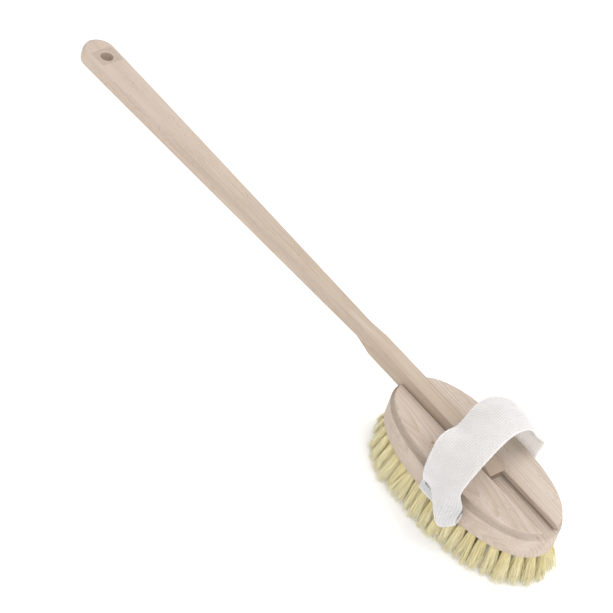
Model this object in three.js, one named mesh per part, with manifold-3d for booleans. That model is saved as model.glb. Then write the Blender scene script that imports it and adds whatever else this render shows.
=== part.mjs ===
// Dry body brush with a long handle that slides off.
//
// An oval beech head carries rings of bristle tufts in blind holes. A lengthwise T-slot splits
// its back into two raised cheeks, and a woven strap arches over them for the hand. The beech
// handle has a square block with two thin flanges that run in the slot, a ramp at its end, a
// slim neck and a round end with a hole to hang it by.
//
// Units are millimetres. +X runs from the handle towards the head's free end, and +Z is up.
// The origin is under the middle of the brush, level with the trimmed bristle tips.

import * as THREE from 'three';
import { mergeVertices } from 'three/addons/utils/BufferGeometryUtils.js';
import Module from 'manifold-3d';

const wasm = await Module();
wasm.setup();

// ---------------------------------------------------------------- driving dimensions

const GAP = 0.3;                     // clearance between neighbouring pieces

const HEAD_CENTRE_X = 156.2;         // puts the origin under the middle of the whole brush
const HEAD_LENGTH = 134;
const HEAD_WIDTH = 66;
const HEAD_SQUARENESS = 2.16;        // superellipse exponent of the bristle board
const CHEEK_SQUARENESS = 2.38;       // the cheeks are a little fuller at their corners
const HEAD_SIDES = 64;

const BRISTLE_LENGTH = 22;           // free length below the board
const BOARD_THICKNESS = 14.4;        // bristle board, up to the foot of the cove
const CHEEK_HEIGHT = 5.1;            // cove and cheeks above the board
const CHEEK_INSET = 2.7;             // from the board's side to the top edge of the cheeks
const COVE_DEPTH = 3.1;              // from the board's side to the deepest point of the cove

const SLOT_WIDTH = 11.7;
const FLANGE_SLOT_WIDTH = 15.5;      // undercut at the foot of the slot
const FLANGE_SLOT_HEIGHT = 1.6;

const HANDLE_LENGTH = 400;
const HANDLE_END_PAST_CENTRE = 17.5; // how far the ramp's tip lies past the middle of the head
const BLOCK_WIDTH = SLOT_WIDTH - 2 * GAP;
const BLOCK_RISE = 7.1;              // top of the block above the cheeks
const BLOCK_CLEARANCE = 0.9;         // under the block; the flanges run lower
const RAMP_LENGTH = 17.5;
const RAMP_TIP_RISE = 0.5;           // what is left of the rise at the ramp's tip
const FLANGE_LENGTH = 78;
const SHOULDER_LENGTH = 14;          // from the block to the neck
const SHOULDER_START = 93.5;         // from the middle of the head to the block's outer end
const NECK_WIDTH = 9.1;
const NECK_THICKNESS = 8.9;
const HANG_END_WIDTH = 22.4;
const HANG_END_THICKNESS = 10.6;
const HANDLE_DROOP = THREE.MathUtils.degToRad(0.8);
const HANG_HOLE_RADIUS = 4;
const HANG_HOLE_FROM_TIP = 17.7;

const STRAP_WIDTH = 31;
const STRAP_THICKNESS = 1.8;
const STRAP_STANDOFF = 0.5;          // between the webbing and the board's side
const STRAP_CENTRE_PAST_HEAD = 4.8;  // along X, from the middle of the head
const STRAP_SLANT = -0.157;          // shift along X for each millimetre across the head
const STRAP_RISE = 38.1;             // middle of the webbing above the cheeks
const STRAP_BULGE = 39;              // half the arch's widest span

const STAPLE_CROWN = 10;
const STAPLE_LEG = 8;
const STAPLE_WIRE = 1;
const STAPLE_BELOW_CHEEKS = 10.7;
const STAPLE_OFFSET = 8;             // each side of the strap's middle

const HOLE_DEPTH = 9;
const HOLE_RADIUS = 2.7;
const TUFT_RADIUS = 2;                // where it is packed in its hole
const TUFT_SIDES = 6;
const TUFT_ANCHOR = [4.3, 0.8, 1.6]; // flat wire that the tuft is folded over

// Tufts stand in rings round the oval and lean outwards, in degrees. Those of the outer ring
// stay apart, and the others flare into one field of bristle at their tips.
const OUTER_RING = { inset: 5, count: 40, lean: 13, tipRadius: 3.3, trim: 0 };
const INNER_RINGS = [
  { inset: 12.5, count: 34, lean: 7, tipRadius: 5, trim: 0.4 },
  { inset: 20, count: 27, lean: 3, tipRadius: 5, trim: 0.4 },
  { inset: 27.6, count: 22, lean: 0, tipRadius: 5, trim: 0.4 },
];

// levels, from the bristle tips up
const BOARD_BOTTOM = BRISTLE_LENGTH;
const SLOT_FLOOR = BOARD_BOTTOM + BOARD_THICKNESS;
const CHEEK_TOP = SLOT_FLOOR + CHEEK_HEIGHT;
const BLOCK_BOTTOM = SLOT_FLOOR + BLOCK_CLEARANCE;
const BLOCK_TOP = CHEEK_TOP + BLOCK_RISE;

// ---------------------------------------------------------------- materials

const beech = (color) => new THREE.MeshStandardMaterial({ color, roughness: 0.62, metalness: 0 });
const MATERIALS = {
  head: beech(0xd8c3ad),
  handle: beech(0xd3bda3),
  cotton: new THREE.MeshStandardMaterial({ color: 0xefedea, roughness: 0.9, metalness: 0 }),
  bristle: new THREE.MeshStandardMaterial({ color: 0xdccf9d, roughness: 0.75, metalness: 0 }),
  steel: new THREE.MeshStandardMaterial({ color: 0xb9bbbd, roughness: 0.35, metalness: 1 }),
};

// ---------------------------------------------------------------- mesh helpers

function geometryFrom(positions, indices) {
  const geometry = new THREE.BufferGeometry();
  geometry.setAttribute('position', new THREE.Float32BufferAttribute(positions, 3));
  geometry.setIndex(indices);
  return geometry;
}

// A closed skin over rings of points. Seen against the way the rings advance, each ring runs
// anticlockwise. The first and last rings are closed by flat fans.
function loft(rings) {
  const sides = rings[0].length;
  const positions = rings.flat().flatMap((point) => point.toArray());
  const indices = [];
  for (let ring = 0; ring < rings.length - 1; ring += 1) {
    for (let side = 0; side < sides; side += 1) {
      const next = (side + 1) % sides;
      const low = ring * sides;
      const high = low + sides;
      indices.push(low + side, low + next, high + next);
      indices.push(low + side, high + next, high + side);
    }
  }
  const last = (rings.length - 1) * sides;
  for (let side = 1; side < sides - 1; side += 1) {
    indices.push(0, side + 1, side);
    indices.push(last, last + side, last + side + 1);
  }
  return geometryFrom(positions, indices);
}

function toSolid(geometry) {
  const bare = geometry.clone();
  bare.deleteAttribute('normal');
  bare.deleteAttribute('uv');
  const merged = mergeVertices(bare, 1e-4);
  return new wasm.Manifold(new wasm.Mesh({
    numProp: 3,
    vertProperties: new Float32Array(merged.attributes.position.array),
    triVerts: new Uint32Array(merged.index.array),
  }));
}

function toGeometry(solid) {
  const mesh = solid.getMesh();
  return geometryFrom(Array.from(mesh.vertProperties), Array.from(mesh.triVerts));
}

function cut(geometry, cutters) {
  return toGeometry(toSolid(geometry).subtract(toSolid(join(cutters))));
}

function join(geometries) {
  return toGeometry(geometries.map(toSolid).reduce((joined, solid) => joined.add(solid)));
}

// A box given by the low and high ends of its three sides.
function boxBetween([x0, x1], [y0, y1], [z0, z1]) {
  const box = new THREE.BoxGeometry(x1 - x0, y1 - y0, z1 - z0);
  return box.translate((x0 + x1) / 2, (y0 + y1) / 2, (z0 + z1) / 2);
}

// ---------------------------------------------------------------- head

// A point on an oval with the given half axes, at an angle in radians.
function ovalPoint(halfLength, halfWidth, squareness, angle) {
  const stretch = (value) => Math.sign(value) * Math.abs(value) ** (2 / squareness);
  return new THREE.Vector2(
    halfLength * stretch(Math.cos(angle)),
    halfWidth * stretch(Math.sin(angle)),
  );
}

function headRing(inset, z, squareness) {
  const halfLength = HEAD_LENGTH / 2 - inset;
  const halfWidth = HEAD_WIDTH / 2 - inset;
  return Array.from({ length: HEAD_SIDES }, (_, side) => {
    const angle = ((side + 0.5) / HEAD_SIDES) * 2 * Math.PI;
    const point = ovalPoint(halfLength, halfWidth, squareness, angle);
    return new THREE.Vector3(HEAD_CENTRE_X + point.x, point.y, z);
  });
}

// Board with eased edges, then a finger cove that turns up into the cheeks.
function headBlank() {
  const ease = 0.9;
  const rings = [
    headRing(ease, BOARD_BOTTOM, HEAD_SQUARENESS),
    headRing(0, BOARD_BOTTOM + ease, HEAD_SQUARENESS),
    headRing(0, SLOT_FLOOR - ease, HEAD_SQUARENESS),
    headRing(ease / 2, SLOT_FLOOR, HEAD_SQUARENESS),
  ];
  const coveSteps = 4;
  const coveRise = CHEEK_HEIGHT * 0.45;
  for (let step = 1; step <= coveSteps; step += 1) {
    const turn = (step / coveSteps) * (Math.PI / 2);
    const inset = ease + (COVE_DEPTH - ease) * Math.sin(turn);
    const z = SLOT_FLOOR + coveRise * (1 - Math.cos(turn));
    rings.push(headRing(inset, z, CHEEK_SQUARENESS));
  }
  rings.push(headRing(CHEEK_INSET, CHEEK_TOP - ease, CHEEK_SQUARENESS));
  rings.push(headRing(CHEEK_INSET + ease, CHEEK_TOP, CHEEK_SQUARENESS));
  return loft(rings);
}

function slotCutters() {
  const reach = HEAD_LENGTH;
  const alongX = [HEAD_CENTRE_X - reach, HEAD_CENTRE_X + reach];
  const slot = boxBetween(alongX, [-SLOT_WIDTH / 2, SLOT_WIDTH / 2], [SLOT_FLOOR, BLOCK_TOP]);
  const undercut = boxBetween(
    alongX,
    [-FLANGE_SLOT_WIDTH / 2, FLANGE_SLOT_WIDTH / 2],
    [SLOT_FLOOR, SLOT_FLOOR + FLANGE_SLOT_HEIGHT],
  );
  return [slot, undercut];
}

// ---------------------------------------------------------------- tufts

// Places of one ring's tufts, evenly spaced round an oval: each gives the middle of its hole's
// mouth, the way the tuft points and the way along the ring.
function tuftPlaces({ inset, count, lean }) {
  const steps = 2000;
  const at = (step) => ovalPoint(
    HEAD_LENGTH / 2 - inset,
    HEAD_WIDTH / 2 - inset,
    HEAD_SQUARENESS,
    ((step + 0.5) / steps) * 2 * Math.PI,
  );
  const runs = [0];
  for (let step = 1; step <= steps; step += 1) {
    runs.push(runs[step - 1] + at(step).distanceTo(at(step - 1)));
  }
  const angle = THREE.MathUtils.degToRad(lean);
  return Array.from({ length: count }, (_, index) => {
    const wanted = ((index + 0.5) / count) * runs[steps];
    const step = runs.findIndex((run) => run >= wanted);
    const along = at(step + 1).sub(at(step - 1)).normalize();
    const here = at(step);
    return {
      mouth: new THREE.Vector3(HEAD_CENTRE_X + here.x, here.y, BOARD_BOTTOM),
      down: new THREE.Vector3(along.y * Math.sin(angle), -along.x * Math.sin(angle), -Math.cos(angle)),
      along: new THREE.Vector3(along.x, along.y, 0),
    };
  });
}

// A ring of points round a tuft's axis, at a distance along it from the mouth of the hole.
function tuftRing(place, distance, radius) {
  const across = new THREE.Vector3().crossVectors(place.down, place.along);
  const centre = place.mouth.clone().addScaledVector(place.down, distance);
  return Array.from({ length: TUFT_SIDES }, (_, side) => {
    const angle = (side / TUFT_SIDES) * 2 * Math.PI;
    return centre.clone()
      .addScaledVector(place.along, radius * Math.cos(angle))
      .addScaledVector(across, radius * Math.sin(angle));
  });
}

function tuftHole(place) {
  return loft([
    tuftRing(place, -HOLE_DEPTH, HOLE_RADIUS),
    tuftRing(place, 3, HOLE_RADIUS),
  ]);
}

// A flared bundle from near the end of its hole to the level trim at its tip.
function tuft(place, { tipRadius, trim }) {
  const root = tuftRing(place, 2 * GAP - HOLE_DEPTH, TUFT_RADIUS);
  const mouth = tuftRing(place, 0, TUFT_RADIUS);
  const tip = tuftRing(place, BRISTLE_LENGTH, tipRadius);
  for (const point of tip) {
    point.addScaledVector(place.down, (trim - point.z) / place.down.z);
  }
  return loft([root, mouth, tip]);
}

// The flat wire in the tuft's fold lies across the hole and just clears its end.
function tuftAnchor(place) {
  const [length, thickness, height] = TUFT_ANCHOR;
  const across = new THREE.Vector3().crossVectors(place.down, place.along);
  const turn = new THREE.Matrix4().makeBasis(place.along, across, place.down);
  const centre = place.mouth.clone().addScaledVector(place.down, GAP + height / 2 - HOLE_DEPTH);
  const wire = new THREE.BoxGeometry(length, thickness, height);
  return wire.applyMatrix4(turn).translate(centre.x, centre.y, centre.z);
}

// ---------------------------------------------------------------- handle

// A rectangle with rounded corners, anticlockwise when seen from +X.
function handleSection(x, halfWidth, bottom, top, radius) {
  const cornerSteps = 2;
  const middle = [halfWidth - radius, top - radius, bottom + radius];
  const corners = [[1, middle[1]], [-1, middle[1]], [-1, middle[2]], [1, middle[2]]];
  return corners.flatMap(([side, z], quarter) => (
    Array.from({ length: cornerSteps + 1 }, (_, step) => {
      const angle = (quarter + step / cornerSteps) * (Math.PI / 2);
      const y = side * middle[0] + radius * Math.cos(angle);
      return new THREE.Vector3(x, y, z + radius * Math.sin(angle));
    })
  ));
}

// Half width, thickness and edge radius of the shaft, from the hang end (0) to the neck (1).
// The sides draw in along a gentle convex line.
function shaftSize(share) {
  const fullness = 0.15;
  const draw = share * (1 - fullness * (1 - share));
  return {
    halfWidth: THREE.MathUtils.lerp(HANG_END_WIDTH, NECK_WIDTH, draw) / 2,
    thickness: THREE.MathUtils.lerp(HANG_END_THICKNESS, NECK_THICKNESS, share),
    radius: THREE.MathUtils.lerp(3, 1, share),
  };
}

function handleBlank() {
  const blockEnd = HEAD_CENTRE_X - SHOULDER_START;
  const neck = blockEnd - SHOULDER_LENGTH;
  const tip = HEAD_CENTRE_X + HANDLE_END_PAST_CENTRE - HANDLE_LENGTH;
  const endRadius = HANG_END_WIDTH / 2;
  const topAt = (x) => BLOCK_TOP - Math.max(0, blockEnd - x) * Math.tan(HANDLE_DROOP);
  const sections = [];

  // round hang end
  const endSteps = 7;
  for (let step = 1; step <= endSteps; step += 1) {
    const turn = (step / endSteps) * (Math.PI / 2);
    const x = tip + endRadius * (1 - Math.cos(turn));
    const { thickness } = shaftSize(0);
    const halfWidth = endRadius * Math.sin(turn);
    const radius = Math.min(3, halfWidth * 0.9);
    sections.push(handleSection(x, halfWidth, topAt(x) - thickness, topAt(x), radius));
  }

  // tapering shaft
  const shaftStart = tip + endRadius;
  const shaftSteps = 8;
  for (let step = 1; step <= shaftSteps; step += 1) {
    const share = step / shaftSteps;
    const x = THREE.MathUtils.lerp(shaftStart, neck, share);
    const { halfWidth, thickness, radius } = shaftSize(share);
    sections.push(handleSection(x, halfWidth, topAt(x) - thickness, topAt(x), radius));
  }

  // block and ramp
  const edge = 0.6;
  const halfBlock = BLOCK_WIDTH / 2;
  const end = HEAD_CENTRE_X + HANDLE_END_PAST_CENTRE;
  sections.push(handleSection(blockEnd, halfBlock, BLOCK_BOTTOM, BLOCK_TOP, edge));
  sections.push(handleSection(end - RAMP_LENGTH, halfBlock, BLOCK_BOTTOM, BLOCK_TOP, edge));
  sections.push(handleSection(end, halfBlock, BLOCK_BOTTOM, CHEEK_TOP + RAMP_TIP_RISE, edge));
  return { geometry: loft(sections), tip, end, topAt };
}

function handle() {
  const { geometry, tip, end, topAt } = handleBlank();
  const halfFlange = FLANGE_SLOT_WIDTH / 2 - GAP;
  const flanges = boxBetween(
    [end - FLANGE_LENGTH, end - 1],
    [-halfFlange, halfFlange],
    [SLOT_FLOOR + GAP, SLOT_FLOOR + FLANGE_SLOT_HEIGHT - GAP],
  );
  const holeX = tip + HANG_HOLE_FROM_TIP;
  const hole = new THREE.CylinderGeometry(HANG_HOLE_RADIUS, HANG_HOLE_RADIUS, 30, 20);
  hole.rotateX(Math.PI / 2).translate(holeX, 0, topAt(holeX));
  return cut(join([geometry, flanges]), [hole]);
}

// ---------------------------------------------------------------- strap and staples

// Middle line of the webbing across the head, from the near side over to the far side. The
// arch leans a little to the near side.
function strapLine() {
  const side = HEAD_WIDTH / 2 + STRAP_STANDOFF + STRAP_THICKNESS / 2;
  const points = [
    [-side, -17.5],
    [-side, -9],
    [-side - 2.1, -4],
    [-STRAP_BULGE, 3],
    [-STRAP_BULGE, 12],
    [-36.5, 20.5],
    [-30, 28],
    [-21.5, 34.5],
    [-11, STRAP_RISE],
    [-1, STRAP_RISE],
    [9, 33.8],
    [17.5, 27],
    [25, 18.5],
    [32.5, 11],
    [38.1, 5.5],
    [STRAP_BULGE, 1],
    [side + 1.6, -4.5],
    [side, -9.5],
    [side, -17.5],
  ];
  return new THREE.SplineCurve(points.map(([y, z]) => new THREE.Vector2(y, CHEEK_TOP + z)));
}

function strapBand() {
  const steps = 44;
  const line = strapLine();
  const offset = (distance) => line.getSpacedPoints(steps).map((point, index) => {
    const along = line.getTangentAt(index / steps);
    return new THREE.Vector2(point.x - along.y * distance, point.y + along.x * distance);
  });
  const outline = [...offset(STRAP_THICKNESS / 2), ...offset(-STRAP_THICKNESS / 2).reverse()];
  const band = new THREE.ExtrudeGeometry(new THREE.Shape(outline), {
    depth: STRAP_WIDTH,
    bevelEnabled: false,
  });
  // the shape's axes become Y and Z, and its depth runs along X
  const turn = new THREE.Matrix4().makeBasis(
    new THREE.Vector3(STRAP_SLANT, 1, 0),
    new THREE.Vector3(0, 0, 1),
    new THREE.Vector3(1, 0, 0),
  );
  const start = HEAD_CENTRE_X + STRAP_CENTRE_PAST_HEAD - STRAP_WIDTH / 2;
  return band.applyMatrix4(turn).translate(start, 0, 0);
}

// Each staple's name, its middle along X and the side of the head it is driven into.
function staplePlaces() {
  const middle = HEAD_CENTRE_X + STRAP_CENTRE_PAST_HEAD;
  return [['near', -1], ['far', 1]].flatMap(([end, side]) => (
    [-1, 1].map((hand, index) => ({
      name: `strap_staple_${end}_${index + 1}`,
      x: middle + side * (HEAD_WIDTH / 2) * STRAP_SLANT + hand * STAPLE_OFFSET,
      side,
    }))
  ));
}

// A crown and two legs, grown all round by a clearance.
function stapleBoxes({ x, side }, clearance) {
  const outer = HEAD_WIDTH / 2 + STRAP_STANDOFF + STRAP_THICKNESS + GAP + STAPLE_WIRE;
  const level = CHEEK_TOP - STAPLE_BELOW_CHEEKS;
  const halfWire = STAPLE_WIRE / 2 + clearance;
  const inZ = [level - halfWire, level + halfWire];
  const inY = (from, to) => [side * from, side * to].sort((a, b) => a - b);
  const crown = boxBetween(
    [x - STAPLE_CROWN / 2 - clearance, x + STAPLE_CROWN / 2 + clearance],
    inY(outer - STAPLE_WIRE - clearance, outer + clearance),
    inZ,
  );
  const legs = [-1, 1].map((end) => {
    const legX = x + end * (STAPLE_CROWN - STAPLE_WIRE) / 2;
    return boxBetween(
      [legX - halfWire, legX + halfWire],
      inY(outer - STAPLE_LEG - clearance, outer - STAPLE_WIRE / 2),
      inZ,
    );
  });
  return { crown, legs };
}

function staple(place) {
  const { crown, legs } = stapleBoxes(place, 0);
  return join([crown, ...legs]);
}

// ---------------------------------------------------------------- assembly

const outerPlaces = tuftPlaces(OUTER_RING);
const innerRings = INNER_RINGS.map((ring) => ({ ...ring, places: tuftPlaces(ring) }));
const allPlaces = [...outerPlaces, ...innerRings.flatMap((ring) => ring.places)];
const stapleHoles = staplePlaces().flatMap((place) => stapleBoxes(place, GAP).legs);
const headCutters = [...slotCutters(), ...allPlaces.map(tuftHole), ...stapleHoles];

const brush = new THREE.Group();

function add(name, geometry, material) {
  const mesh = new THREE.Mesh(geometry, material);
  mesh.name = name;
  brush.add(mesh);
}

add('head_block', cut(headBlank(), headCutters), MATERIALS.head);
add('handle', handle(), MATERIALS.handle);
add('hand_strap', cut(strapBand(), stapleHoles), MATERIALS.cotton);
for (const place of staplePlaces()) {
  add(place.name, staple(place), MATERIALS.steel);
}
outerPlaces.forEach((place, index) => {
  const name = `tuft_outer_${String(index + 1).padStart(2, '0')}`;
  add(name, join([tuft(place, OUTER_RING), tuftAnchor(place)]), MATERIALS.bristle);
});
const innerTufts = innerRings.flatMap((ring) => ring.places.map((place) => tuft(place, ring)));
add('tufts_inner_field', join(innerTufts), MATERIALS.bristle);

export default brush;
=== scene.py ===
"""A dry body brush whose long handle slides out of a slot in its back, made round its frame."""

import math

import bpy
import numpy as np
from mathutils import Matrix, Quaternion, Vector


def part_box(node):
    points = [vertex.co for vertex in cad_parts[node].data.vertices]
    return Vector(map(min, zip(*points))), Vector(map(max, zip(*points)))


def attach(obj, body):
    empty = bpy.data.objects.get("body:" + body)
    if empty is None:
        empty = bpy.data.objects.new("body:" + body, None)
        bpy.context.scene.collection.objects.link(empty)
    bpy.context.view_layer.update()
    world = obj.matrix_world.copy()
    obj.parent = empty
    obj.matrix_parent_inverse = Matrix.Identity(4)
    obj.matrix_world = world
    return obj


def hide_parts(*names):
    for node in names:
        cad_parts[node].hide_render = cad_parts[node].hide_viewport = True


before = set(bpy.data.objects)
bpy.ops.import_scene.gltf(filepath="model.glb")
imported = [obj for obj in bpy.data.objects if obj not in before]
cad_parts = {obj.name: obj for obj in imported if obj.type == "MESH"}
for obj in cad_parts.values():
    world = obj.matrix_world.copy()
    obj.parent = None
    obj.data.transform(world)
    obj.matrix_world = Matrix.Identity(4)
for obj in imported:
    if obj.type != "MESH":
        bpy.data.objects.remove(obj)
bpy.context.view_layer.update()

bl_info = {
    "name": "Dry body brush",
    "version": (1, 0, 0),
    "blender": (4, 5, 0),
    "location": "View3D > Sidebar > Body Brush",
    "description": "Beech body brush with bristle tufts, a woven strap and a removable handle",
    "category": "Object",
}

MM = 0.001

# Levels and places that the frame gives, in metres.
BOARD_LOW, BOARD_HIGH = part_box("head_block")
HANDLE_LOW, HANDLE_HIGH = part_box("handle")
HEAD_X = (BOARD_LOW[0] + BOARD_HIGH[0]) / 2
HEAD_HALF_LENGTH = (BOARD_HIGH[0] - BOARD_LOW[0]) / 2
HEAD_HALF_WIDTH = (BOARD_HIGH[1] - BOARD_LOW[1]) / 2
BOARD_BOTTOM = BOARD_LOW[2]
CHEEK_TOP = BOARD_HIGH[2]
BLOCK_TOP = HANDLE_HIGH[2]
HANDLE_TIP, HANDLE_END = HANDLE_LOW[0], HANDLE_HIGH[0]
OUTER_TUFTS = sorted(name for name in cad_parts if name.startswith("tuft_outer_"))
STAPLES = sorted(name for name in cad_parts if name.startswith("strap_staple_"))


# ---------------------------------------------------------------- settings


class HeadSettings(bpy.types.PropertyGroup):
    board_thickness: bpy.props.FloatProperty(
        name="Board thickness",
        description="From the underside of the board to the floor of the slot",
        default=14.4 * MM,
        min=0,
        unit="LENGTH",
    )
    cheek_inset: bpy.props.FloatProperty(
        name="Cheek inset",
        description="From the board's side to the top edge of the cheeks",
        default=2.7 * MM,
        min=0,
        unit="LENGTH",
    )
    cove_depth: bpy.props.FloatProperty(
        name="Cove depth",
        description="From the board's side to the deepest point of the finger cove",
        default=3.1 * MM,
        min=0,
        unit="LENGTH",
    )
    slot_width: bpy.props.FloatProperty(
        name="Slot width",
        description="Width of the slot between the cheeks",
        default=11.7 * MM,
        min=0,
        unit="LENGTH",
    )
    undercut_width: bpy.props.FloatProperty(
        name="Undercut width",
        description="Width of the slot's foot, where the handle's flanges run",
        default=15.5 * MM,
        min=0,
        unit="LENGTH",
    )
    undercut_height: bpy.props.FloatProperty(
        name="Undercut height",
        description="Height of the slot's foot",
        default=1.6 * MM,
        min=0,
        unit="LENGTH",
    )


class HandleSettings(bpy.types.PropertyGroup):
    hang_end_width: bpy.props.FloatProperty(
        name="Hang end width",
        description="Width of the round end with the hanging hole",
        default=HANDLE_HIGH[1] - HANDLE_LOW[1],
        min=0,
        unit="LENGTH",
    )
    neck_width: bpy.props.FloatProperty(
        name="Neck width",
        description="Width of the shaft where it meets the shoulder",
        default=9.1 * MM,
        min=0,
        unit="LENGTH",
    )
    hole_radius: bpy.props.FloatProperty(
        name="Hole radius",
        description="Radius of the hanging hole between its eased rims",
        default=4 * MM,
        min=0,
        unit="LENGTH",
    )
    hole_rim: bpy.props.FloatProperty(
        name="Hole rim",
        description="Radius of the rounding at the rims of the hanging hole",
        default=1.1 * MM,
        min=0,
        unit="LENGTH",
    )


class StrapSettings(bpy.types.PropertyGroup):
    width: bpy.props.FloatProperty(
        name="Webbing width",
        description="Width of the woven strap",
        default=31 * MM,
        min=0,
        unit="LENGTH",
    )
    thickness: bpy.props.FloatProperty(
        name="Webbing thickness",
        description="Thickness of the webbing between its yarns' crowns",
        default=1.5 * MM,
        min=0,
        unit="LENGTH",
    )
    yarn_pitch: bpy.props.FloatProperty(
        name="Yarn pitch",
        description="Distance between neighbouring yarns of the plain weave",
        default=1.45 * MM,
        min=0.1 * MM,
        unit="LENGTH",
    )
    yarn_relief: bpy.props.FloatProperty(
        name="Yarn relief",
        description="Height of the yarns' crowns above the grooves between them",
        default=0.26 * MM,
        min=0,
        unit="LENGTH",
    )
    colour: bpy.props.FloatVectorProperty(
        name="Cotton colour",
        description="Colour of the bleached cotton",
        default=(0.71, 0.695, 0.69),
        subtype="COLOR",
        min=0,
        max=1,
    )


class BristleSettings(bpy.types.PropertyGroup):
    outer_fibres: bpy.props.IntProperty(
        name="Fibres in an outer tuft",
        description="Bristles in each tuft of the outermost ring",
        default=300,
        min=1,
    )
    inner_fibres: bpy.props.IntProperty(
        name="Fibres in an inner tuft",
        description="Bristles in each tuft of the inner rings",
        default=80,
        min=1,
    )
    fibre_radius: bpy.props.FloatProperty(
        name="Fibre radius",
        description="Radius of a bristle at its root",
        default=0.16 * MM,
        min=0,
        unit="LENGTH",
    )
    seed: bpy.props.IntProperty(
        name="Seed",
        description="Start of the random draws that scatter the bristles",
        default=7,
    )


class StageSettings(bpy.types.PropertyGroup):
    azimuth: bpy.props.FloatProperty(
        name="Azimuth",
        description="The camera's bearing round the brush, from the near side towards the free end",
        default=math.radians(37.17),
        subtype="ANGLE",
    )
    elevation: bpy.props.FloatProperty(
        name="Elevation",
        description="The camera's height above the horizon",
        default=math.radians(42.41),
        subtype="ANGLE",
    )
    roll: bpy.props.FloatProperty(
        name="Roll",
        description="The camera's turn about its own line of sight",
        default=math.radians(19.69),
        subtype="ANGLE",
    )
    distance: bpy.props.FloatProperty(
        name="Distance",
        description="From the camera to the point it aims at",
        default=2.0,
        min=0.1,
        unit="LENGTH",
    )
    aim: bpy.props.FloatVectorProperty(
        name="Aim",
        description="The point that the camera looks at",
        default=(40.6 * MM, -48.5 * MM, 75.7 * MM),
        subtype="TRANSLATION",
        unit="LENGTH",
    )
    lens: bpy.props.FloatProperty(
        name="Lens",
        description="Focal length for a sensor 36 mm wide, in millimetres",
        default=204.4,
        min=1,
    )


# ---------------------------------------------------------------- shader helpers


def new_material(name):
    material = bpy.data.materials.new(name)
    material.use_nodes = True
    tree = material.node_tree
    tree.nodes.clear()
    shader = tree.nodes.new("ShaderNodeBsdfPrincipled")
    output = tree.nodes.new("ShaderNodeOutputMaterial")
    tree.links.new(shader.outputs["BSDF"], output.inputs["Surface"])
    return material, tree, shader


def new_group(name, inputs, outputs):
    """A shader node group. An input is (name, socket kind, default), an output (name, kind)."""
    group = bpy.data.node_groups.new(name, "ShaderNodeTree")
    for label, kind, default in inputs:
        socket = group.interface.new_socket(label, in_out="INPUT", socket_type=kind)
        socket.default_value = default
    for label, kind in outputs:
        group.interface.new_socket(label, in_out="OUTPUT", socket_type=kind)
    return group, group.nodes.new("NodeGroupInput"), group.nodes.new("NodeGroupOutput")


def place_group(tree, name, **values):
    node = tree.nodes.new("ShaderNodeGroup")
    node.node_tree = bpy.data.node_groups[name]
    for label, value in values.items():
        node.inputs[label.replace("_", " ")].default_value = value
    return node


def math_node(tree, operation, first, second=None, third=None):
    """A Math node, whose arguments are numbers or output sockets."""
    node = tree.nodes.new("ShaderNodeMath")
    node.operation = operation
    for slot, value in enumerate((first, second, third)):
        if isinstance(value, bpy.types.NodeSocket):
            tree.links.new(value, node.inputs[slot])
        elif value is not None:
            node.inputs[slot].default_value = value
    return node.outputs[0]


def vector_node(tree, operation, first, second=None):
    """A Vector Math node, whose arguments are output sockets."""
    node = tree.nodes.new("ShaderNodeVectorMath")
    node.operation = operation
    for slot, value in enumerate((first, second)):
        if value is not None:
            tree.links.new(value, node.inputs[slot])
    return node.outputs


def mix_colours(tree, factor, first, second):
    node = tree.nodes.new("ShaderNodeMix")
    node.data_type = "RGBA"
    for label, value in (("Factor", factor), ("A", first), ("B", second)):
        socket = next(s for s in node.inputs if s.name == label and s.enabled)
        if isinstance(value, bpy.types.NodeSocket):
            tree.links.new(value, socket)
        else:
            socket.default_value = value
    return next(s for s in node.outputs if s.enabled)


def ramp(tree, value, low, high):
    """value mapped smoothly from low..high to 0..1."""
    node = tree.nodes.new("ShaderNodeMapRange")
    node.interpolation_type = "SMOOTHSTEP"
    tree.links.new(value, node.inputs["Value"])
    node.inputs["From Min"].default_value = low
    node.inputs["From Max"].default_value = high
    return node.outputs["Result"]


def stretched_noise(tree, vector, sizes, detail=2, roughness=0.5, offset=(0, 0, 0)):
    """Noise whose features measure sizes, in metres along X, Y and Z."""
    mapping = tree.nodes.new("ShaderNodeMapping")
    mapping.inputs["Location"].default_value = offset
    mapping.inputs["Scale"].default_value = [1 / size for size in sizes]
    noise = tree.nodes.new("ShaderNodeTexNoise")
    noise.inputs["Scale"].default_value = 1
    noise.inputs["Detail"].default_value = detail
    noise.inputs["Roughness"].default_value = roughness
    tree.links.new(vector, mapping.inputs["Vector"])
    tree.links.new(mapping.outputs["Vector"], noise.inputs["Vector"])
    return noise.outputs["Fac"]


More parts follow.
